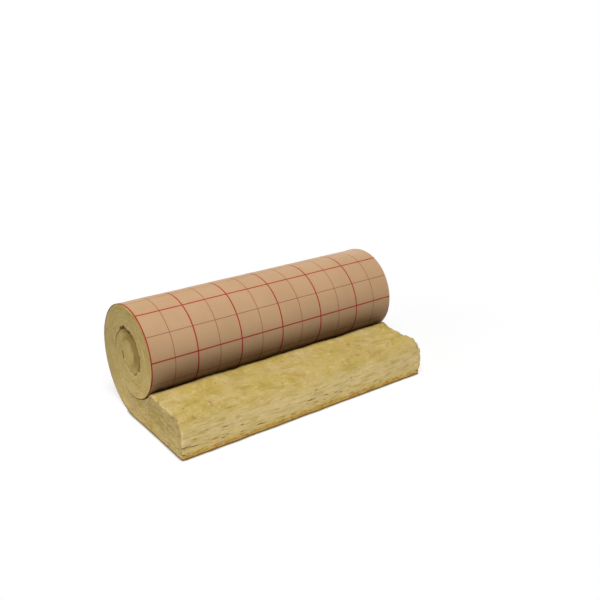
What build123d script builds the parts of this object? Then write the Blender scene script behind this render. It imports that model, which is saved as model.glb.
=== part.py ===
"""Insulation roll, part unrolled: one stone wool blanket with a kraft paper facing bonded to its outer side.

The blanket lies on the floor with its facing down, runs back under the roll, climbs the back of it
and winds inwards. The section is drawn in the YZ plane and runs the whole width of the blanket along X.
The winding is a chain of tangent half circles, each half a pitch smaller than the one before it.
The origin is on the floor, at the middle of the footprint.
"""

from build123d import *

import os
from math import acos, degrees

# The blanket, in millimetres: the wool springs back to its free thickness where nothing presses on it
blanket_width = 1200.0
free_thickness = 160.0
facing_thickness = 0.3
tail_reach = 400.0

# The winding: the outermost half turn is at the back, and the tail lies under the roll's axis
outer_radius = 240.0
rolled_pitch = 100.0
turn_gap = 3.0
half_turns = 4

# The coreless middle, where the inner end of the blanket curls up on itself
core_lift_angle = 35.0
core_run = 25.0
eye_radius = 20.0
eye_angle = 120.0

# The unrolled tail: the lip where the roll sinks into it, and the top of its cut end
lip_radius = 20.0
nose_radius = 60.0

# Worked out from the sizes above
roll_axis_y = (tail_reach - outer_radius) / 2
front_radius = outer_radius - rolled_pitch / 2
front_axis_height = rolled_pitch + front_radius
bed_radius = front_radius + turn_gap
cling_angle = degrees(acos((front_axis_height + lip_radius - free_thickness) / (bed_radius + lip_radius)))
section_plane = Plane(origin=(0, roll_axis_y, 0), x_dir=(0, 1, 0), z_dir=(1, 0, 0))


def winding(inset, first_half_turn=0):
    """Draws the wound line from the floor side of a half turn to the eye, and returns its last edge.

    The inset is measured inwards from the outer side of the facing, so two insets give parallel lines.
    """
    start = (0, first_half_turn / 2 * rolled_pitch + inset)
    heading = (1, 0)
    for half_turn in range(first_half_turn, half_turns):
        radius = outer_radius - half_turn * rolled_pitch / 2 - inset
        lift = core_lift_angle if half_turn == half_turns - 1 else 0
        turn = JernArc(start, heading, radius, 180 + lift)
        start, heading = turn @ 1, turn % 1
    run = Line(start, start + heading * core_run)
    return JernArc(run @ 1, run % 1, eye_radius - inset, eye_angle)


# Stone wool: between the facing bonded to its own outer side and the facing of the next turn inwards
with BuildPart() as wool_blanket:
    with BuildSketch(section_plane):
        with BuildLine():
            outer_eye = winding(facing_thickness)
            inner_eye = winding(-turn_gap, first_half_turn=2)
            Line(outer_eye @ 1, inner_eye @ 1)
            bed = JernArc((0, rolled_pitch - turn_gap), (-1, 0), bed_radius, -cling_angle)
            lip = JernArc(bed @ 1, bed % 1, lip_radius, cling_angle)
            free_top = Line(lip @ 1, (nose_radius - tail_reach, free_thickness))
            nose = JernArc(free_top @ 1, free_top % 1, nose_radius, 90)
            cut_end = Line(nose @ 1, (-tail_reach, facing_thickness))
            Line(cut_end @ 1, (0, facing_thickness))
        make_face()
    extrude(amount=blanket_width / 2, both=True)
wool_blanket.part.label = "wool_blanket"

# Kraft paper: one sheet under the tail and round every turn, on the outer side of the wool
with BuildPart() as kraft_facing:
    with BuildSketch(section_plane):
        with BuildLine():
            outside = winding(0)
            inside = winding(facing_thickness)
            Line(outside @ 1, inside @ 1)
            Polyline(
                (0, 0),
                (-tail_reach, 0),
                (-tail_reach, facing_thickness),
                (0, facing_thickness),
            )
        make_face()
    extrude(amount=blanket_width / 2, both=True)
kraft_facing.part.label = "kraft_facing"

os.makedirs("parts", exist_ok=True)
for piece in (wool_blanket, kraft_facing):
    export_step(piece.part, f"parts/{piece.part.label}.step")
    print(piece.part.label, piece.part.volume, piece.part.bounding_box())
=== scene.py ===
"""Insulation roll: the looks of a part-unrolled stone wool blanket with a printed kraft paper facing.

The wool and the paper are flat blocks that are wound up along the same line as the solids they stand for.
Each vertex keeps its place in the flat blanket (across, along, depth) in the attribute "flat", which the
materials read, so the layers of the wool and the printed grid follow the winding.
"""

import math

import bmesh
import bpy
import numpy as np
from bpy.props import FloatProperty, FloatVectorProperty, PointerProperty
from mathutils import Euler, Matrix, Vector, noise


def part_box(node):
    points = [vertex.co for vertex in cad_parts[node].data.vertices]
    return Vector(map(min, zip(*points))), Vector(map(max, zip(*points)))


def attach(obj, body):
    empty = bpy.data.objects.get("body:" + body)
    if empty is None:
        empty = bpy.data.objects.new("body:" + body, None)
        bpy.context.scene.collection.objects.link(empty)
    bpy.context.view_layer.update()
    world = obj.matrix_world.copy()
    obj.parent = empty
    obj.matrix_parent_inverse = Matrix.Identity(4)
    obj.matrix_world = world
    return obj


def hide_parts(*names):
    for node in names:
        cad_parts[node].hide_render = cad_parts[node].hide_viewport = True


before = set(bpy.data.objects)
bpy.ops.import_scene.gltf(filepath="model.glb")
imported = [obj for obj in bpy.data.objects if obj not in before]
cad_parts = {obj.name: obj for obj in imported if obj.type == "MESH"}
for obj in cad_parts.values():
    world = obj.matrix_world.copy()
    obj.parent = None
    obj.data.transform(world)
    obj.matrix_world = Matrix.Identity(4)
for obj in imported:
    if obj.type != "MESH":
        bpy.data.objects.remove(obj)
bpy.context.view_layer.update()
paper_low, paper_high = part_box("kraft_facing")

bl_info = {
    "name": "Insulation roll",
    "version": (1, 0, 0),
    "blender": (4, 5, 0),
    "location": "View3D > Sidebar > Insulation roll",
    "description": "Builds a part-unrolled stone wool roll with a printed kraft facing",
    "category": "Object",
}

MM = 0.001
HALF_TURNS = 4

# How near to a block's face or a line a vertex lies to be on it
ON_FACE = 1e-6

# The lip beside the roll: how far its swell spreads, how softly it meets the bed, and where the bed's mouth
# starts as a share of the bed's reach
LIP_SPREAD = 45 * MM
LIP_BLEND = 4 * MM
MOUTH_SHARE = 0.55

# How far round the third half turn the wool's inner side reaches the facing's tip
SEAM_TURN = math.radians(150)

# Half the width over which the edge of a printed line fades
INK_FADE = 0.4 * MM


def length(name, description, default):
    return FloatProperty(
        name=name, description=description, default=default, min=0, unit="LENGTH", precision=4
    )


def angle(name, description, degrees):
    return FloatProperty(name=name, description=description, default=math.radians(degrees), unit="ROTATION")


def strength(name, description, default):
    return FloatProperty(name=name, description=description, default=default, min=0)


def power(name, description, watts):
    return FloatProperty(name=name, description=description, default=watts, min=0, unit="POWER")


def colour(name, description, default):
    return FloatVectorProperty(
        name=name, description=description, default=default, size=3, min=0, max=1, subtype="COLOR"
    )


class BlanketSizes(bpy.types.PropertyGroup):
    """The blanket and how it is wound"""

    width: length("Width", "Width of the blanket, along the roll", paper_high.x - paper_low.x)
    outer_radius: length("Outer radius", "Radius of the outermost half turn, at the back", paper_high.z / 2)
    tail_reach: length(
        "Tail reach",
        "From the roll's axis to the cut end in front",
        paper_high.y - paper_low.y - paper_high.z / 2,
    )
    facing: length("Facing", "Thickness of the paper", 0.3 * MM)
    free_thickness: length("Free thickness", "Thickness of the wool where nothing presses on it", 160 * MM)
    pitch: length("Pitch", "From one turn of the facing to the next", 100 * MM)
    turn_gap: length("Turn gap", "Slit between the wool and the next turn's facing", 3 * MM)
    core_lift: angle("Core lift", "How far the last half turn runs on into the core", 35)
    core_run: length("Core run", "Straight run of the facing inside the core", 25 * MM)
    eye_radius: length("Eye radius", "Radius of the facing's curled end", 20 * MM)
    eye_turn: angle("Eye turn", "How far the facing's end curls", 120)
    lip_swell: length("Lip swell", "How far the wool swells up beside the roll", 14 * MM)
    nip_mouth: length("Nip mouth", "How far the bed opens in front of the roll", 3 * MM)
    nose_radius: length("Nose radius", "Rounding of the tail's top edge", 60 * MM)


class WoolLook(bpy.types.PropertyGroup):
    """Relief and colours of the stone wool"""

    edge_round: length("Edge rounding", "Rounding of the tail's edges at the roll's ends", 9 * MM)
    turn_round: length("Turn rounding", "Rounding of the closed turns at the roll's ends", 3 * MM)
    foot_round: length("Foot rounding", "Rounding where the wool meets the paper", 3 * MM)
    crevice: length("Crevice", "Width of the open turn at the roll's ends", 10 * MM)
    lean: length("Lean", "How far the open turn's front leans over the sunken core", 10 * MM)
    eye_slit: length("Eye slit", "Width of the slit in the middle of the roll's ends", 14 * MM)
    core_recess: length("Core recess", "How far the inner turn sits back from the ends", 4 * MM)
    core_slope: length("Core slope", "How much further it sits back beside the open turn", 16 * MM)
    bulge: length("Bulge", "How far the cut end swells in front", 7 * MM)
    lump_height: length("Lumps", "Height of the broad lumps on the open surface", 3.5 * MM)
    tuft_height: length("Tufts", "Height of the tufts on the open surface", 1.2 * MM)
    layer_depth: length("Layers", "Depth of the layers on the cut end", 1.6 * MM)
    crack_depth: length("Cracks", "Depth of the open layers on the cut end", 6 * MM)
    end_depth: length("End layers", "Depth of the layers on the roll's ends", 1.0 * MM)
    crumble: length("Crumble", "Depth of the crumbled edges", 4 * MM)
    gold: colour("Gold", "Main colour of the wool", (0.60, 0.44, 0.126))
    beige: colour("Beige", "Drier patches", (0.64, 0.48, 0.194))
    olive: colour("Olive", "Denser patches", (0.46, 0.35, 0.079))
    # Cream also goes on the ragged rims of the ends, where it is partly a painted highlight
    cream: colour("Cream", "Loose pale fibres", (0.80, 0.62, 0.30))
    stain: colour("Stain", "Soft tan stains", (0.54, 0.32, 0.115))
    # Ochre also tints the sunken slope beside the open turn, as painted shade
    ochre: colour("Ochre", "Binder-rich wool next to the facing", (0.49, 0.285, 0.045))
    rust: colour("Rust", "Cured binder spots", (0.36, 0.135, 0.03))
    # Brown is also the painted shade in crevices, pits, nicks, open layers and the nip, and along the wool's
    # foot
    brown: colour("Brown", "Flecks and open layers", (0.13, 0.08, 0.026))


class PaperLook(bpy.types.PropertyGroup):
    """The kraft facing and its printed grid"""

    paper: colour("Paper", "Kraft brown", (0.615, 0.387, 0.214))
    fibre: colour("Fibre", "Darker fibres in the paper", (0.44, 0.255, 0.13))
    ink: colour("Ink", "Red of the bold lines", (0.42, 0.020, 0.019))
    thin_ink: colour("Thin ink", "Red of the thin lines", (0.24, 0.035, 0.025))
    hoop_step: length("Hoop step", "Between bold lines round the roll", 200 * MM)
    hoop_start: length("Hoop start", "From the blanket's edge to the first line", 2.6 * MM)
    rule_step: length("Rule step", "Between bold lines along the roll", 200 * MM)
    rule_start: length("Rule start", "From the cut end to the first line", 32.6 * MM)
    bold_line: length("Bold line", "Width of a bold line", 5.4 * MM)
    thin_line: length("Thin line", "Width of a thin line", 2.6 * MM)
    wave_height: length("Waves", "Height of the paper's soft waves", 1.8 * MM)
    edge_lift: length("Edge lift", "How far the paper's edges lift off the wool", 2.0 * MM)


class StageLook(bpy.types.PropertyGroup):
    """Floor, light and camera"""

    floor: colour("Floor", "Pale floor", (0.8, 0.8, 0.8))
    table_glow: strength("Table glow", "Light from the table under the roll", 0.88)
    ambient: strength("Ambient", "Strength of the light from all round", 0.02)
    light_distance: length("Light distance", "From the roll to the softboxes", 8)
    light_size: length("Light size", "Side of the softboxes", 4.5)
    key_power: power("Key", "Power of the key softbox", 675)
    key_bounce: FloatProperty(
        name="Key bounce", description="Share of the key that is reflected on", default=0.22, min=0, max=1
    )
    key_azimuth: angle("Key azimuth", "Key softbox's turn about the vertical", -36)
    key_elevation: angle("Key elevation", "Key softbox's height angle", 65)
    fill_power: power("Fill", "Power of the side softbox", 138)
    fill_azimuth: angle("Fill azimuth", "Side softbox's turn about the vertical", -90)
    fill_elevation: angle("Fill elevation", "Side softbox's height angle", 20)
    back_power: power("Back", "Power of the back softbox", 160)
    back_azimuth: angle("Back azimuth", "Back softbox's turn about the vertical", 125)
    back_elevation: angle("Back elevation", "Back softbox's height angle", 12)
    azimuth: angle("Azimuth", "Camera's turn about the vertical", -36.71)
    elevation: angle("Elevation", "Camera's height angle", 20.99)
    camera_place: FloatVectorProperty(
        name="Camera",
        description="Camera's place",
        default=(-1.7077, -2.5217, 1.5621),
        size=3,
        subtype="TRANSLATION",
    )
    lens: FloatProperty(name="Lens", description="Focal length", default=46.48, min=1, unit="CAMERA")


# The winding


def route(roll):
    """The facing's line from the cut end to the eye: each straight or round stretch's length and turn."""
    turns = [math.pi] * HALF_TURNS
    turns[-1] += roll.core_lift
    arcs = [((roll.outer_radius - k * roll.pitch / 2) * turn, turn) for k, turn in enumerate(turns)]
    eye = (roll.eye_radius * roll.eye_turn, roll.eye_turn)
    return [(roll.tail_reach, 0), *arcs, (roll.core_run, 0), eye]


def marks(roll):
    """How far along the line each stretch ends, from 0 at the cut end."""
    return np.cumsum([0] + [run for run, _ in route(roll)])


def wind(along, roll):
    """The points (y, z) of the facing's outer side, and the inward directions, at distances along it."""
    points, inward = np.empty((len(along), 2)), np.empty((len(along), 2))
    start, heading, done = np.array([-roll.tail_reach, 0.0]), 0.0, 0.0
    for run, turn in route(roll):
        here = along >= done - 1e-9
        step = along[here] - done
        bend = heading + step * turn / run
        if turn:
            radius = run / turn
            points[here] = start + radius * np.stack(
                [np.sin(bend) - math.sin(heading), math.cos(heading) - np.cos(bend)], axis=1
            )
            start = start + radius * np.array(
                [math.sin(heading + turn) - math.sin(heading), math.cos(heading) - math.cos(heading + turn)]
            )
        else:
            direction = np.array([math.cos(heading), math.sin(heading)])
            points[here] = start + step[:, None] * direction
            start = start + run * direction
        inward[here] = np.stack([-np.sin(bend), np.cos(bend)], axis=1)
        heading, done = heading + turn, done + run
    return points, inward


def bed(roll):
    """The roll's bed in its tail: its radius, its axis's height and the angle over which it clings."""
    radius = roll.outer_radius - roll.pitch / 2 + roll.turn_gap
    axis_height = roll.outer_radius + roll.pitch / 2
    return radius, axis_height, math.acos((axis_height - roll.free_thickness - roll.lip_swell / 2) / radius)


def tail_top(y, roll):
    """Height of the tail's upper side at distances y from the roll's axis, before its cut end is rounded."""
    radius, axis_height, cling = bed(roll)
    reach = radius * math.sin(cling)
    mouth = roll.nip_mouth * smooth(MOUTH_SHARE * reach, reach, -y)
    in_bed = axis_height - np.sqrt(np.maximum((radius + mouth) ** 2 - y**2, 0))
    beside = np.minimum(y + reach, 0) / LIP_SPREAD
    free = roll.free_thickness + roll.lip_swell * np.exp(-(beside**2))
    return -LIP_BLEND * np.log(np.exp(-in_bed / LIP_BLEND) + np.exp(-free / LIP_BLEND))


def eye_seam(roll):
    """How far along the line the wool's inner side reaches the tip of the facing, in the eye."""
    return marks(roll)[3] + (roll.outer_radius - roll.pitch) * SEAM_TURN


def wool_sides(along, gap, slit, roll):
    """The outer and inner side (y, z) of the wool at distances along the blanket.

    The gap is what the wool leaves between its inner side and the facing of the next turn, and the slit is
    what it leaves in the eye, where it folds back on its own facing.
    """
    ends = marks(roll)
    tail, first, second, third = ends[1:5]
    bottom = third + math.pi * (roll.outer_radius - 3 * roll.pitch / 2)
    seam, eye, tip = eye_seam(roll), ends[-2], ends[-1]
    points, inward = wind(along, roll)
    outer = points + inward * roll.facing
    partner = np.interp(along, [tail, first, second, seam, eye], [second, third, bottom, tip, eye])
    closing = np.interp(along, [seam - roll.eye_radius, seam, (seam + eye) / 2, eye], [-1, 0, 1, 0.1])
    clear = np.where(closing < 0, gap, slit) * closing
    facing, away = wind(partner, roll)
    inner = facing + away * clear[:, None]
    flat = along < tail
    y = along[flat] - roll.tail_reach
    inner[flat] = np.stack([y, tail_top(y, roll)], axis=1)
    return outer, inner


# Blocks and their relief


def edges_along(bm, axis):
    return [e for e in bm.edges if abs(e.verts[0].co[axis] - e.verts[1].co[axis]) > 1e-7]


def cut_block(columns, rows, layers):
    """A unit block from 0 to 1 each way, cut into columns across, rows along and layers deep."""
    bm = bmesh.new()
    bmesh.ops.create_cube(bm, size=1, matrix=Matrix.Translation((0.5, 0.5, 0.5)))
    for axis, cells in ((1, rows), (2, layers), (0, columns)):
        if cells > 1:
            bmesh.ops.subdivide_edges(bm, edges=edges_along(bm, axis), cuts=cells - 1, use_grid_fill=True)
    return bm


def row_shares(ends, spacings):
    """How many rows give each stretch its spacing, and the share of the rows at each stretch's end."""
    counts = [math.ceil((b - a) / spacing) for a, b, spacing in zip(ends, ends[1:], spacings)]
    return sum(counts), np.concatenate([[0], np.cumsum(counts)]) / sum(counts)


def round_corner(a, b, radius):
    """Moves points near a corner, a and b from its two sides, so that the corner has a radius."""
    in_a, in_b = np.minimum(a - radius, 0), np.minimum(b - radius, 0)
    long = np.hypot(in_a, in_b)
    pull = np.maximum(np.abs(in_a), np.abs(in_b)) / np.maximum(long, 1e-9) - 1
    pull = np.where(long > 1e-9, pull, 0)
    return a + pull * in_a, b + pull * in_b


def smooth(low, high, value):
    t = np.clip((value - low) / (high - low), 0, 1)
    return t * t * (3 - 2 * t)


def hump(value, rise_start, rise_end, fall_start, fall_end):
    """0 to 1 over the rise and back to 0 over the fall, smoothly."""
    return smooth(rise_start, rise_end, value) * smooth(fall_end, fall_start, value)


def fractal(points, scale, octaves, offset=0.0):
    """Fractal noise, about -1 to 1, at points stretched by a scale along each axis."""
    places = points * np.array(scale) + offset
    return np.array([noise.fractal(p, 1.0, 2.0, octaves) for p in places])


def slits(u, v, places, long, thick, wobble):
    """Depth, 0 to 1, of wavy lens-shaped slits at places (u, v), from their half lengths and thicknesses."""
    depth = np.zeros(len(u))
    for (at_u, at_v), half_long, half_thick in zip(places, long, thick):
        off = np.hypot((u - at_u) / half_long, (v - at_v - wobble) / half_thick)
        depth = np.maximum(depth, smooth(1.0, 0.25, off))
    return depth


def vertex_array(bm):
    return np.array([v.co for v in bm.verts])


def place_vertices(bm, places):
    for vertex, place in zip(bm.verts, places):
        vertex.co = place


def finished_piece(name, bm, attributes, material, sharp):
    """Makes the object of a bmesh, with values at its vertices as attributes for the material."""
    mesh = bpy.data.meshes.new(name)
    bm.to_mesh(mesh)
    bm.free()
    for key, values in attributes.items():
        attribute = mesh.attributes.new(key, "FLOAT_VECTOR", "POINT")
        attribute.data.foreach_set("vector", np.asarray(values, np.float32).ravel())
    mesh.shade_smooth()
    mesh.set_sharp_from_angle(angle=sharp)
    mesh.materials.append(material)
    piece = bpy.data.objects.new(name, mesh)
    bpy.context.scene.collection.objects.link(piece)
    return piece


def roll_axis(roll):
    return (roll.tail_reach - roll.outer_radius) / 2


# Shader helpers


class Value:
    """A shader socket that takes part in arithmetic: each operation adds a Math node."""

    def __init__(self, finish, socket):
        self.finish, self.socket = finish, socket

    def math(self, operation, *operands):
        return self.finish.node("ShaderNodeMath", {"operation": operation}, dict(enumerate(operands)))

    def __add__(self, other):
        return self.math("ADD", self, other)

    def __sub__(self, other):
        return self.math("SUBTRACT", self, other)

    def __rsub__(self, other):
        return self.math("SUBTRACT", other, self)

    def __mul__(self, other):
        return self.math("MULTIPLY", self, other)

    __radd__ = __add__
    __rmul__ = __mul__


class Finish:
    """The node tree of a material or a world."""

    def __init__(self, owner):
        owner.use_nodes = True
        self.owner, self.tree = owner, owner.node_tree
        self.tree.nodes.clear()

    def node(self, kind, settings=None, sockets=None, out=0):
        """Adds a node: its settings are set first, then its sockets get their values or links."""
        node = self.tree.nodes.new(kind)
        for key, value in (settings or {}).items():
            setattr(node, key, value)
        for key, value in (sockets or {}).items():
            self.feed(node.inputs[key], value)
        if isinstance(out, tuple):
            return [Value(self, node.outputs[key]) for key in out]
        return Value(self, node.outputs[out]) if node.outputs else None

    def feed(self, socket, value):
        if isinstance(value, Value):
            self.tree.links.new(value.socket, socket)
        elif hasattr(value, "__len__"):
            socket.default_value = (*value, 1) if len(value) < len(socket.default_value) else tuple(value)
        else:
            socket.default_value = value

    def attribute(self, name):
        return self.node("ShaderNodeAttribute", {"attribute_name": name}, out="Vector")

    def parts(self, vector):
        return self.node("ShaderNodeSeparateXYZ", {}, {0: vector}, out=(0, 1, 2))

    def noise(self, vector, scale, detail=3, roughness=0.55, distortion=0.0, offset=0.0):
        """Noise from 0 to 1, stretched by a scale along each axis."""
        places = self.node(
            "ShaderNodeMapping",
            {"vector_type": "POINT"},
            {"Vector": vector, "Scale": scale, "Location": (offset,) * 3},
        )
        return self.node(
            "ShaderNodeTexNoise",
            {},
            {
                "Vector": places,
                "Scale": 1.0,
                "Detail": detail,
                "Roughness": roughness,
                "Distortion": distortion,
            },
        )

    def step(self, value, low, high):
        """0 below low and 1 above high, with a smooth rise between."""
        return self.node(
            "ShaderNodeMapRange",
            {"interpolation_type": "SMOOTHSTEP"},
            {"Value": value, "From Min": low, "From Max": high},
        )

    def mix(self, factor, a, b):
        return self.node("ShaderNodeMix", {"data_type": "RGBA"}, {0: factor, 6: a, 7: b}, out=2)

    def blend(self, factor, a, b):
        return self.node("ShaderNodeMixShader", {}, {0: factor, 1: a, 2: b})

    def bump(self, height, strength, distance):
        return self.node("ShaderNodeBump", {}, {"Height": height, "Strength": strength, "Distance": distance})

    def surface(self, sockets):
        shader = self.node("ShaderNodeBsdfPrincipled", {}, sockets)
        self.node("ShaderNodeOutputMaterial", {}, {"Surface": shader})
        return self.owner


def stone_wool(look):
    """Matted layers of stone fibre: soft patches on the open side, thin layers on the cut faces."""
    wool = Finish(bpy.data.materials.new("stone_wool"))
    flat = wool.attribute("flat")
    # The third value of faces is painted shade: brown for the crevices, pits, nicks, open layers and the nip
    front, end, painted_shade = wool.parts(wool.attribute("faces"))
    # Worn edges and ragged rims (their cream partly a painted highlight), painted shade along the foot with
    # darker streaks on the tail's ends, and painted shade on the sunken slope
    worn, foot_shade_and_end_streaks, slope_shade = wool.parts(wool.attribute("wear"))
    layer = wool.parts(flat)[2]
    dry = wool.noise(flat, (8, 9, 24), 5, 0.6, 0.5)
    dense = wool.noise(flat, (14, 16, 40), 4, 0.6, 0.7, 4.0)
    mat = wool.noise(flat, (36, 40, 110), 4, 0.6, 0.8, 8.0)
    fibres = wool.noise(flat, (80, 100, 260), 4, 0.65, 0.8)
    tufts = wool.noise(flat, (85, 90, 240), 3, 0.6, 0.5, 9.0)
    flecks = wool.noise(flat, (66, 70, 220), 2, 0.5, 0.3, 2.0)
    strands = wool.noise(flat, (300, 380, 900), 2, 0.6, 1.5, 6.0)
    colour = wool.mix(wool.step(dry, 0.40, 0.62), look.gold, look.beige)
    colour = wool.mix(wool.step(dense, 0.48, 0.66) * 0.65, colour, look.olive)
    colour = wool.mix(wool.step(mat, 0.54, 0.68) * 0.5, colour, look.cream)
    colour = wool.mix(wool.step(mat, 0.45, 0.32) * 0.4, colour, look.ochre)
    colour = wool.mix(wool.step(fibres, 0.46, 0.28) * 0.2, colour, look.olive)
    stains = wool.noise(flat, (11, 16, 30), 4, 0.6, 0.8, 12.0)
    colour = wool.mix(wool.step(stains, 0.57, 0.70) * 0.7, colour, look.stain)
    colour = wool.mix(wool.step(flecks, 0.70, 0.78) * 0.5, colour, look.brown)
    # Cream on the worn edges, and on the ragged rims, where it is partly a painted highlight
    colour = wool.mix(wool.step(tufts + worn * 0.20, 0.60, 0.74) * 0.55, colour, look.cream)

    leaves = wool.noise(flat, (15, 12, 100), 4, 0.65, 0.6, 1.0)
    thin_leaves = wool.noise(flat, (38, 30, 260), 3, 0.6, 0.5, 7.0)
    splits = wool.noise(flat, (24, 20, 200), 2, 0.5, 0.5, 3.0)
    pale = wool.step(layer, 15 * MM, 80 * MM) * 0.45 + 0.45
    cut = wool.mix(wool.step(leaves, 0.32, 0.56) * pale, colour, look.cream)
    cut = wool.mix(wool.step(thin_leaves, 0.46, 0.28) * 0.35, cut, look.olive)
    cut = wool.mix(wool.step(splits, 0.68, 0.75) * 0.55, cut, look.brown)
    resin = wool.noise(flat, (22, 22, 50), 4, 0.65, 0.8, 5.0)
    binder = wool.mix(wool.step(resin, 0.52, 0.64), look.ochre, look.rust)
    binder = wool.mix(wool.step(mat, 0.47, 0.58) * 0.8, binder, look.gold)
    foot = wool.step(layer + mat * (34 * MM) + dense * (50 * MM), 73 * MM, 58 * MM)
    cut = wool.mix(foot * 0.95, cut, binder)
    colour = wool.mix(front, colour, cut)

    side = wool.mix(wool.step(dry, 0.32, 0.54), look.gold, look.beige)
    side = wool.mix(0.2, side, look.cream)
    side = wool.mix(wool.step(dense, 0.46, 0.66) * 0.6, side, look.olive)
    side = wool.mix(wool.step(thin_leaves, 0.46, 0.68) * 0.35, side, look.cream)
    rings = wool.noise(flat, (6, 6, 75), 3, 0.6, 0.4, 15.0)
    side = wool.mix(wool.step(rings, 0.47, 0.32) * 0.3, side, look.ochre)
    side = wool.mix(wool.step(flecks, 0.68, 0.77) * 0.55, side, look.brown)
    # Cream on the worn edges, and on the ragged rims, where it is partly a painted highlight
    side = wool.mix(wool.step(tufts + worn * 0.20, 0.62, 0.76) * 0.5, side, look.cream)
    # Ochre on the sunken slope beside the open turn: painted shade of the recess
    side = wool.mix(slope_shade * mat, side, look.ochre)
    colour = wool.mix(end, colour, side)
    # Painted shade along the wool's foot, and darker brown streaks over the tail's ends
    colour = wool.mix(wool.step(foot_shade_and_end_streaks + mat * 0.6, 0.6, 1.1) * 0.8, colour, look.brown)
    # Painted shade: brown over the crevices, pits, nicks, open layers and the nip
    colour = wool.mix(painted_shade * 0.9, colour, look.brown)
    height = mat * 0.8 + fibres * 0.4 + strands * 0.25 + tufts * 0.4 + thin_leaves * (front + end) * 0.4
    return wool.surface(
        {
            "Base Color": colour,
            "Roughness": 0.95,
            "Specular IOR Level": 0.05,
            "Normal": wool.bump(height, 0.5, 3 * MM),
        }
    )


def grid_lines(finish, place, start, step, widths):
    """Ink masks of the bold lines, one step apart, and of the thin lines halfway between them."""
    masks = []
    for shift, width in zip((0, step / 2), widths):
        off = place.math("PINGPONG", place - (start + shift), step / 2)
        masks.append(finish.step(off, width / 2 + INK_FADE, width / 2 - INK_FADE))
    return masks


def kraft_paper(look, width):
    """Brown machine-glazed paper with a red measuring grid."""
    paper = Finish(bpy.data.materials.new("kraft_paper"))
    flat = paper.attribute("flat")
    across, along, depth = paper.parts(flat)
    widths = (look.bold_line, look.thin_line)
    hoops, thin_hoops = grid_lines(paper, across + width / 2, look.hoop_start, look.hoop_step, widths)
    rules, thin_rules = grid_lines(paper, along, look.rule_start, look.rule_step, widths)
    blotches = paper.noise(flat, (6, 6, 1), 4, 0.6)
    fibres = paper.noise(flat, (90, 420, 1), 3, 0.6, 0.5)
    specks = paper.noise(flat, (500, 900, 1), 2, 0.6)
    colour = paper.mix(paper.step(blotches, 0.3, 0.75) * 0.2, look.paper, look.fibre)
    colour = paper.mix(paper.step(fibres, 0.5, 0.8) * 0.3, colour, look.fibre)
    worn = paper.step(specks, 0.80, 0.66)
    printed = worn * paper.step(depth, 0.5, 0.0)
    bold = hoops.math("MAXIMUM", hoops, rules)
    thin = hoops.math("MAXIMUM", thin_hoops, thin_rules)
    colour = paper.mix(thin * printed * 0.78, colour, look.thin_ink)
    colour = paper.mix(bold * printed * 0.97, colour, look.ink)
    return paper.surface(
        {
            "Base Color": colour,
            "Roughness": 0.45 + blotches * 0.2,
            "Specular IOR Level": 0.10,
            "Normal": paper.bump(fibres + specks * 0.5, 0.12, 1 * MM),
        }
    )


# Pieces


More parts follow.
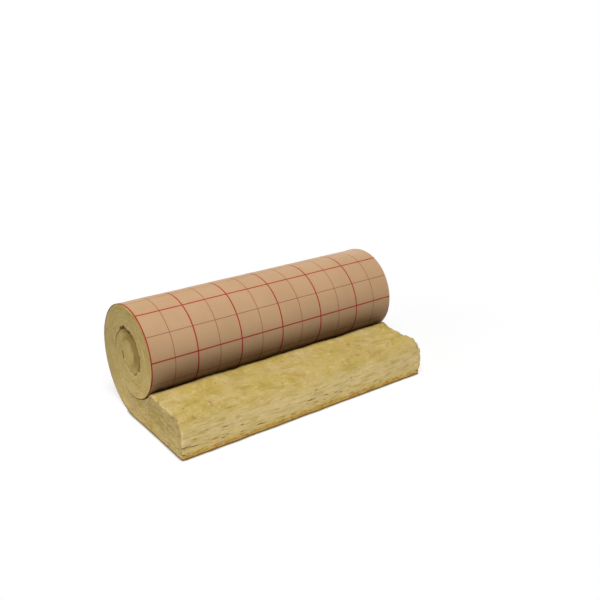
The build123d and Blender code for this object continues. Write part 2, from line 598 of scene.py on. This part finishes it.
class MakeWoolBlanket(bpy.types.Operator):
    """Winds a thick block of stone wool into the roll and its tail"""

    bl_idname = "insulation_roll.wool_blanket"
    bl_label = "Wool blanket"

    # Cells of the block: across, deep, and along each stretch; then the finer cuts on its top and cut end
    COLUMNS, LAYERS = 16, 40
    ROW_STEPS = (4.5 * MM, 10 * MM, 6 * MM, 5 * MM)
    TOP_CUTS, FRONT_CUTS = 14, 2

    # Open layers that show on the cut end: places across and up it
    OPEN_LAYERS = (
        (-0.583, 0.055), (-0.548, 0.048), (-0.463, 0.049), (-0.423, 0.039), (-0.341, 0.038),
        (-0.252, 0.040), (-0.099, 0.030), (-0.016, 0.068), (0.066, 0.065),
    )
    MORE_LAYERS = 22

    # The tail's top ends at this share of the bed's reach, and its edges sharpen over a stretch before
    # the crest
    LIP_SHARE = 0.85
    EDGE_FADE = 80 * MM

    # The least thickness of the wool, the share of it that a rounded edge takes at most, and the width of
    # the eye's slit inside the roll, in turn gaps
    THINNEST = 0.1 * MM
    ROUND_SHARE = 0.45
    SLIT_GAPS = 1.5

    # The strip of painted shade where the roll sinks into its tail: from the crest, and how dark it gets
    NIP_STRIP = (23 * MM, 12 * MM)
    NIP_SHADE = 0.85

    # How far the worn edges reach, and how strongly the tail's ends are streaked darker brown
    WORN_REACH = 22 * MM
    END_STREAKS = 0.50

    # The turn that gapes at the roll's ends: places from the first half turn's end, the last one from the
    # second's, and how wide it is at each as a share of the crevice
    GAPING = (-0.16, -0.1, 0.03, 0.2, 0.36, 0.5)
    GAPING_END = -0.02
    GAPING_SHARES = (0, 0.8, 0.5, 0.7, 1.0, 0.9, 0)

    def execute(self, context):
        roll, look = context.scene.blanket_sizes, context.scene.wool_look
        ends = marks(roll)
        radius, _, cling = bed(roll)
        crest = roll.tail_reach - radius * math.sin(cling)
        lip = roll.tail_reach - self.LIP_SHARE * radius * math.sin(cling)
        stretch_ends = [0, lip, ends[1], ends[3], ends[-2]]
        rows, shares = row_shares(stretch_ends, self.ROW_STEPS)
        bm = self.block(rows, shares[1])
        block = vertex_array(bm)
        across = (block[:, 0] - 0.5) * roll.width
        along = np.interp(block[:, 1], shares, stretch_ends)
        on_end = np.minimum(block[:, 0], 1 - block[:, 0]) < ON_FACE
        on_front = block[:, 1] < ON_FACE
        on_top = (block[:, 2] > 1 - ON_FACE) & (along < lip + ON_FACE)

        gap, opening = self.end_gaps(across, along, on_end, roll, look)
        slit = np.where(on_end, look.eye_slit, self.SLIT_GAPS * roll.turn_gap)
        outer, inner = wool_sides(along, gap, slit, roll)
        thick = np.maximum(np.linalg.norm(inner - outer, axis=1), self.THINNEST)
        height = block[:, 2] * thick
        inset = roll.width / 2 - np.abs(across)
        left = thick - height
        along, left = round_corner(along, left, np.where(along < lip, roll.nose_radius, 0))
        to_crest = smooth(crest - self.EDGE_FADE, crest, along)
        tail_edge = look.edge_round + (look.turn_round - look.edge_round) * to_crest
        edge = np.where(along < lip, tail_edge, look.turn_round + 1.2 * opening)
        inset, left = round_corner(inset, left, np.minimum(edge, self.ROUND_SHARE * thick))
        height = thick - left
        groove = hump(along, ends[4] - 0.10, ends[4] + 0.02, ends[4] + 0.14, ends[4] + 0.27)
        foot = look.foot_round + 2 * look.foot_round * groove
        inset, height = round_corner(inset, height, np.minimum(foot, self.ROUND_SHARE * thick))
        inset, along = round_corner(inset, along, np.where(along < lip, look.edge_round, 0))
        along, height = round_corner(along, height, np.where(along < lip, look.foot_round, 0))
        outer, inner = wool_sides(along, gap, slit, roll)
        section = outer + (inner - outer) * (height / thick)[:, None]
        section[:, 0] += roll_axis(roll)
        sunk = smooth(ends[3] - 0.1, ends[3] + 0.3, along) * look.core_recess
        sunk = sunk + groove * smooth(45 * MM, 0, height) * look.core_slope
        inset = inset + np.where(on_end, sunk, 0)
        x = np.sign(across) * (roll.width / 2 - inset)
        places = np.column_stack([x, section])
        place_vertices(bm, places)
        bm.normal_update()

        layer = height / thick * roll.free_thickness
        flat = np.column_stack([x, along, layer])
        edge = np.sort([inset, np.where(along < lip, left, 1), along], axis=0)[1]
        worn = smooth(self.WORN_REACH, 0, edge) * (along < lip)
        back = hump(along, ends[1] + 0.3, ends[1] + 0.4, ends[2] - 0.1, ends[2])
        # Ragged rims of the ends by the open turn and the back half turn: crumbs, and cream that is partly a
        # painted highlight along them
        ragged = on_end * np.maximum(smooth(3 * MM, 7 * MM, opening), back) * smooth(14 * MM, 2 * MM, left)
        # Painted shade gathers here from the reliefs, the nip strip and the ends' openings
        rise, painted_shade = np.zeros(len(x)), np.zeros(len(x))
        self.top_relief(flat, on_top & ~on_front, rise, painted_shade, lip, look)
        self.front_relief(flat, on_front, rise, painted_shade, look)
        self.end_relief(flat, on_end & ~on_front & ~on_top, rise, painted_shade, look)
        strip_start, strip_dark = self.NIP_STRIP
        # Painted shade in a strip along the nip, where the roll sinks into its tail
        in_nip = on_top * smooth(crest - strip_start, crest - strip_dark, along)
        painted_shade = np.maximum(painted_shade, self.NIP_SHADE * in_nip)
        self.crumbled_edges(flat, worn, ragged, height, rise, painted_shade, look)
        shade = self.end_shade(flat, height, left, opening, groove, roll)
        painted_shade = np.maximum(painted_shade, np.where(on_end, shade, 0))
        normals = np.array([v.normal for v in bm.verts])
        places = places + normals * rise[:, None]
        places[:, 2] = np.maximum(places[:, 2], roll.facing)
        place_vertices(bm, places)
        # Painted shade along the wool's foot on the cut end and the tail's ends, and darker streaks over the
        # tail's ends
        foot_shade_and_end_streaks = np.maximum(smooth(10 * MM, 3 * MM, height), self.END_STREAKS * on_end)
        foot_shade_and_end_streaks = foot_shade_and_end_streaks * smooth(ends[1] + 0.3, ends[1], along) * (on_end | on_front)
        # Ochre tint over the sunken slope beside the open turn: painted shade of the recess
        slope_shade = groove * smooth(70 * MM, 45 * MM, height) * on_end
        front = np.where(on_front, smooth(150 * MM, 90 * MM, layer), 0)
        faces = np.column_stack([front, on_end & ~on_front, painted_shade])
        piece = finished_piece(
            "wool_blanket_look",
            bm,
            {"flat": flat, "faces": faces, "wear": np.column_stack([worn + ragged, foot_shade_and_end_streaks, slope_shade])},
            stone_wool(look),
            math.radians(60),
        )
        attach(piece, "root")
        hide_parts("wool_blanket")
        return {"FINISHED"}

    def crumbled_edges(self, flat, worn, ragged, height, rise, painted_shade, look):
        """Crumbs and pits on the tail's worn edges, with painted shade in the pits, and a ragged rim round
        the open turns.
        """
        rim = worn > 0
        pits = smooth(0.15, 0.5, fractal(flat[rim], (34, 34, 34), 2, 47.0))
        crumbs = fractal(flat[rim], (55, 55, 55), 3, 41.0) - 2 * pits
        rise[rim] += worn[rim] * crumbs * look.crumble * smooth(0, 15 * MM, height[rim])
        painted_shade[rim] = np.maximum(painted_shade[rim], 0.5 * worn[rim] * pits)
        rise += ragged * fractal(flat, (1, 70, 70), 2, 53.0) * look.crumble * 0.8 * (ragged > 0)

    def end_shade(self, flat, height, left, opening, groove, roll):
        """Painted shade on the ends where they open: beside the core, in the eye and along the open turn."""
        along = flat[:, 1]
        seam, eye = eye_seam(roll), marks(roll)[-2]
        in_eye = hump(along, seam - 0.06, seam + 0.04, eye - 0.08, eye)
        foot = height + 6 * MM * fractal(flat, (1, 60, 1), 2, 37.0)
        ruffled = height + 14 * MM * fractal(flat, (1, 30, 30), 3, 61.0)
        return np.max(
            [
                smooth(27 * MM, 15 * MM, foot) * groove,
                smooth(74 * MM, 44 * MM, ruffled) * groove * 0.45,
                smooth(11 * MM, 5 * MM, left) * in_eye,
                smooth(7 * MM, 2 * MM, left) * smooth(2 * MM, 6 * MM, opening),
            ],
            axis=0,
        )

    def block(self, rows, lip_share):
        """The blanket's block, cut finer on the tail's top and cut end, which show the most."""
        bm = cut_block(self.COLUMNS, rows, self.LAYERS)
        shown = [
            e
            for e in edges_along(bm, 0)
            if all(
                v.co.y < ON_FACE or (v.co.z > 1 - ON_FACE and v.co.y < lip_share + ON_FACE) for v in e.verts
            )
        ]
        bmesh.ops.subdivide_edges(bm, edges=shown, cuts=self.TOP_CUTS, use_grid_fill=True)
        front = [e for e in edges_along(bm, 2) if all(v.co.y < ON_FACE for v in e.verts)]
        bmesh.ops.subdivide_edges(bm, edges=front, cuts=self.FRONT_CUTS, use_grid_fill=True)
        return bm

    def end_gaps(self, across, along, on_end, roll, look):
        """What the wool leaves to the next turn, and the part of it that gapes at the roll's ends."""
        ends = marks(roll)
        first, second = ends[2], ends[3]
        stations = [first + place for place in self.GAPING] + [second + self.GAPING_END]
        opening = np.interp(along, stations, np.array(self.GAPING_SHARES) * look.crevice)
        ragged = fractal(np.column_stack([across, along, along * 0]), (1, 34, 1), 2, 17.0)
        opening = np.maximum(opening * (1 + 0.7 * ragged), 0)
        opening = np.where(on_end & (along > stations[0]) & (along < second), opening, 0)
        lean = hump(along, first - 0.1, first + 0.12, second - 0.15, second) * look.lean
        return np.where(on_end, 0.2 * MM + opening - lean, roll.turn_gap), opening

    def top_relief(self, flat, here, rise, painted_shade, lip, look):
        """Soft lumps, small tufts and a few pits on the tail's upper side, with painted shade in the pits."""
        points = flat[here]
        lumps = fractal(points, (9, 9, 4), 2)
        tufts = fractal(points, (34, 34, 20), 3, 5.0)
        pits = smooth(0.62, 0.85, fractal(points, (27, 27, 10), 2, 8.0))
        fade = smooth(lip, lip - 12 * MM, points[:, 1])
        rise[here] = (lumps * look.lump_height + tufts * look.tuft_height - pits * 3 * MM) * fade
        painted_shade[here] = pits * 0.35 * fade

    def front_relief(self, flat, here, rise, painted_shade, look):
        """Thin layers on the cut end, some of them open, over a soft bulge, with painted shade in the open
        layers.
        """
        points = flat[here]
        across, _, layer = points.T
        dice = np.random.default_rng(11)
        few, many = len(self.OPEN_LAYERS), self.MORE_LAYERS
        more = np.column_stack([dice.uniform(-0.58, 0.58, many), dice.uniform(0.03, 0.11, many)])
        places = np.concatenate([np.array(self.OPEN_LAYERS), more])
        long = np.concatenate([dice.uniform(0.012, 0.030, few), dice.uniform(0.006, 0.018, many)])
        thick = np.concatenate([dice.uniform(0.0020, 0.0030, few), dice.uniform(0.0014, 0.0022, many)])
        wobble = fractal(points, (18, 1, 1), 2, 3.0) * 1.2 * MM
        open_layers = slits(across, layer, places, long, thick, wobble)
        leaves = fractal(points, (9, 3, 60), 3, 9.0) * 0.8 + fractal(points, (30, 12, 170), 2, 13.0) * 0.5
        lumps = fractal(points, (9, 9, 14), 2)
        bulge = hump(layer, 0, 75 * MM, 85 * MM, 150 * MM) * look.bulge
        fade = smooth(1 * MM, 10 * MM, layer)
        relief = leaves * look.layer_depth + lumps * look.lump_height - open_layers * look.crack_depth
        rise[here] = bulge + relief * fade
        painted_shade[here] = open_layers * 0.6

    def end_relief(self, flat, here, rise, painted_shade, look):
        """Fine layers on the roll's ends, with a few small nicks that get painted shade."""
        points = flat[here]
        leaves = fractal(points, (6, 6, 60), 3, 9.0)
        lumps = fractal(points, (3, 9, 12), 2, 19.0)
        nicks = smooth(0.60, 0.80, fractal(points, (30, 30, 90), 2, 23.0))
        fade = smooth(1 * MM, 8 * MM, points[:, 2])
        rise[here] = (leaves + lumps * 1.5 - nicks * 3) * look.end_depth * fade
        painted_shade[here] = nicks * 0.6 * fade


class MakeKraftFacing(bpy.types.Operator):
    """Winds the printed paper facing round the outer side of the wool"""

    bl_idname = "insulation_roll.kraft_facing"
    bl_label = "Kraft facing"

    # Cells of the sheet: across, and along each stretch
    COLUMNS = 120
    ROW_STEPS = (25 * MM, 9 * MM, 12 * MM)

    # How far in from the roll's ends the edges lift, and how far in they are drawn back inside the roll
    LIFT_REACH = 30 * MM
    RECESS_REACH = 60 * MM

    def execute(self, context):
        roll, look = context.scene.blanket_sizes, context.scene.paper_look
        ends = marks(roll)
        _, _, cling = bed(roll)
        stretch_ends = [0, ends[1], ends[3], ends[-1]]
        rows, shares = row_shares(stretch_ends, self.ROW_STEPS)
        bm = cut_block(self.COLUMNS, rows, 1)
        block = vertex_array(bm)
        across = (block[:, 0] - 0.5) * roll.width
        along = np.interp(block[:, 1], shares, stretch_ends)
        points, inward = wind(along, roll)
        flat = np.column_stack([across, along, block[:, 2]])
        contact = ends[3] - (roll.outer_radius - roll.pitch / 2) * cling
        free = hump(along, ends[1], ends[1] + 0.15, contact - 0.08, contact)
        waves = (0.5 + 0.5 * fractal(flat, (5, 7, 0), 2, 2.0)) * look.wave_height
        to_end = roll.width / 2 - np.abs(across)
        ripples = 0.5 + 0.5 * fractal(flat, (1, 9, 0), 2, 31.0)
        lift = smooth(self.LIFT_REACH, 0, to_end) * ripples * look.edge_lift
        rise = np.maximum(waves + lift, 0) * free
        section = points + inward * (block[:, 2] * roll.facing - rise)[:, None]
        section[:, 0] += roll_axis(roll)
        covered = smooth(contact, ends[3], along)
        in_core = smooth(ends[4] - 0.2, ends[4] - 0.1, along)
        recess = covered * 6 * MM + in_core * 20 * MM
        x = np.sign(across) * (np.abs(across) - smooth(self.RECESS_REACH, 0, to_end) * recess)
        place_vertices(bm, np.column_stack([x, section]))
        material = kraft_paper(look, roll.width)
        piece = finished_piece("kraft_facing_look", bm, {"flat": flat}, material, math.radians(60))
        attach(piece, "root")
        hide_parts("kraft_facing")
        return {"FINISHED"}


class MakeStage(bpy.types.Operator):
    """Sets up a white floor, soft studio light and the camera"""

    bl_idname = "insulation_roll.stage"
    bl_label = "Stage"

    FLOOR_REACH = 20

    # What the softboxes face, and how often the light of the bouncing part of the key is reflected at most
    LIGHT_AIM = (0, 0, 0.2)
    MOST_BOUNCES = 12

    # The oval round the roll on the floor, and how far the table's glow lies in front of it
    OVAL = (0.92, 0.52)
    GLOW_FORWARD = 0.17

    # Where the glow ends and where the floor turns plain white, in sizes of the oval
    GLOW_RIM = (0.95, 1.15)
    WHITE_RIM = (0.9, 1.9)

    # What the camera sees of the floor near the roll: a grey that takes the shadow, lifted to white
    SEEN_GREY = 0.37
    SEEN_LIFT = 0.69
    CONTACT_REACH = 13 * MM

    def execute(self, context):
        scene, stage = context.scene, context.scene.stage_look
        bm = bmesh.new()
        bmesh.ops.create_grid(bm, x_segments=1, y_segments=1, size=self.FLOOR_REACH)
        mesh = bpy.data.meshes.new("floor")
        bm.to_mesh(mesh)
        bm.free()
        mesh.materials.append(self.floor_finish(stage))
        floor = bpy.data.objects.new("floor", mesh)
        scene.collection.objects.link(floor)
        scene.world = self.surroundings(stage)
        key_lamps = (("key", 1 - stage.key_bounce, 0), ("key_bounce", stage.key_bounce, self.MOST_BOUNCES))
        for name, share, bounces in key_lamps:
            watts = stage.key_power * share
            key = self.softbox(scene, stage, name, watts, stage.key_azimuth, stage.key_elevation)
            key.cycles.max_bounces = bounces
        self.softbox(scene, stage, "fill", stage.fill_power, stage.fill_azimuth, stage.fill_elevation)
        self.softbox(scene, stage, "back", stage.back_power, stage.back_azimuth, stage.back_elevation)
        camera = bpy.data.objects.new("camera", bpy.data.cameras.new("camera"))
        camera.data.lens = stage.lens
        camera.data.sensor_width = 36
        camera.location = stage.camera_place
        camera.rotation_euler = Euler((math.pi / 2 - stage.elevation, 0, stage.azimuth))
        scene.collection.objects.link(camera)
        scene.camera = camera
        scene.view_settings.view_transform = "Standard"
        return {"FINISHED"}

    def seen_as_white(self, finish):
        """1 for the rays that show the background: straight from the camera, mirrored or through glass."""
        camera, glossy, through = finish.node(
            "ShaderNodeLightPath", out=("Is Camera Ray", "Is Glossy Ray", "Is Transmission Ray")
        )
        return camera.math("MAXIMUM", camera, camera.math("MAXIMUM", glossy, through))

    def contact(self, floor):
        """0 to 1 from the foot of a wall to a little way off it, for the thin shadow at the roll's foot."""
        near = {"Distance": self.CONTACT_REACH}
        open_share = floor.node("ShaderNodeAmbientOcclusion", {"samples": 8}, near, out="AO")
        return floor.step(open_share, 0.2, 1.0)

    def oval(self, floor, place, forward):
        """0 to 1 from the middle to the rim of an oval round the roll, moved forward by a distance."""
        wide, deep = self.OVAL
        oval = floor.node(
            "ShaderNodeMapping",
            {"vector_type": "POINT"},
            {"Vector": place, "Location": (0, forward / deep, 0), "Scale": (1 / wide, 1 / deep, 0)},
        )
        return floor.node("ShaderNodeVectorMath", {"operation": "LENGTH"}, {0: oval}, out="Value")

    def floor_finish(self, stage):
        """Pale floor that the camera sees as white with the roll's shadow, and as plain white further off."""
        floor = Finish(bpy.data.materials.new("floor"))
        place = floor.node("ShaderNodeTexCoord", out="Object")
        reach, glow_reach = (self.oval(floor, place, forward) for forward in (0, self.GLOW_FORWARD))
        plain = floor.node("ShaderNodeBsdfDiffuse", {}, {"Color": stage.floor})
        lit = floor.node("ShaderNodeEmission", {}, {"Color": (1, 1, 1), "Strength": stage.table_glow})
        table = floor.node("ShaderNodeAddShader", {}, {0: plain, 1: lit})
        matte = floor.blend(floor.step(glow_reach, *self.GLOW_RIM), table, plain)
        shaded = floor.node("ShaderNodeBsdfDiffuse", {}, {"Color": (self.SEEN_GREY,) * 3})
        glow = floor.node("ShaderNodeEmission", {}, {"Color": (1, 1, 1), "Strength": self.SEEN_LIFT})
        near = floor.node("ShaderNodeAddShader", {}, {0: shaded, 1: glow})
        far = floor.node("ShaderNodeEmission", {}, {"Color": (1, 1, 1), "Strength": 1})
        near = floor.node("ShaderNodeMixShader", {}, {0: self.contact(floor), 2: near})
        white = floor.blend(floor.step(reach, *self.WHITE_RIM), near, far)
        shader = floor.blend(self.seen_as_white(floor), matte, white)
        floor.node("ShaderNodeOutputMaterial", {}, {"Surface": shader})
        return floor.owner

    def surroundings(self, stage):
        """Weak even light from all round, seen as white."""
        studio = Finish(bpy.data.worlds.new("studio"))
        light = studio.node("ShaderNodeBackground", {}, {"Color": (1, 1, 1), "Strength": stage.ambient})
        white = studio.node("ShaderNodeBackground", {}, {"Color": (1, 1, 1), "Strength": 1})
        shader = studio.blend(self.seen_as_white(studio), light, white)
        studio.node("ShaderNodeOutputWorld", {}, {"Surface": shader})
        return studio.owner

    def softbox(self, scene, stage, name, power, azimuth, elevation):
        """A square softbox that faces the roll from a direction."""
        light = bpy.data.lights.new(name, "AREA")
        light.shape, light.size, light.energy = "SQUARE", stage.light_size, power
        lamp = bpy.data.objects.new(name, light)
        turn = Euler((math.pi / 2 - elevation, 0, azimuth))
        lamp.rotation_euler = turn
        lamp.location = Vector(self.LIGHT_AIM) + turn.to_matrix() @ Vector((0, 0, stage.light_distance))
        scene.collection.objects.link(lamp)
        return light


class InsulationRollPanel(bpy.types.Panel):
    """Lists the roll's sizes, looks and pieces"""

    bl_idname = "VIEW3D_PT_insulation_roll"
    bl_label = "Insulation roll"
    bl_space_type = "VIEW_3D"
    bl_region_type = "UI"
    bl_category = "Insulation roll"

    def draw(self, context):
        for pointer, group in POINTERS.items():
            box = self.layout.box()
            box.label(text=group.__doc__)
            settings = getattr(context.scene, pointer)
            for key in group.__annotations__:
                box.prop(settings, key)
        for operator in OPERATORS:
            self.layout.operator(operator.bl_idname)


POINTERS = {
    "blanket_sizes": BlanketSizes,
    "wool_look": WoolLook,
    "paper_look": PaperLook,
    "stage_look": StageLook,
}
OPERATORS = (MakeWoolBlanket, MakeKraftFacing, MakeStage)
CLASSES = (*POINTERS.values(), *OPERATORS, InsulationRollPanel)


def register():
    for cls in CLASSES:
        bpy.utils.register_class(cls)
    for pointer, group in POINTERS.items():
        setattr(bpy.types.Scene, pointer, PointerProperty(type=group))


def unregister():
    for pointer in POINTERS:
        delattr(bpy.types.Scene, pointer)
    for cls in reversed(CLASSES):
        bpy.utils.unregister_class(cls)


def main():
    register()
    bpy.ops.insulation_roll.wool_blanket()
    bpy.ops.insulation_roll.kraft_facing()
    bpy.ops.insulation_roll.stage()


if __name__ == "__main__":
    main()
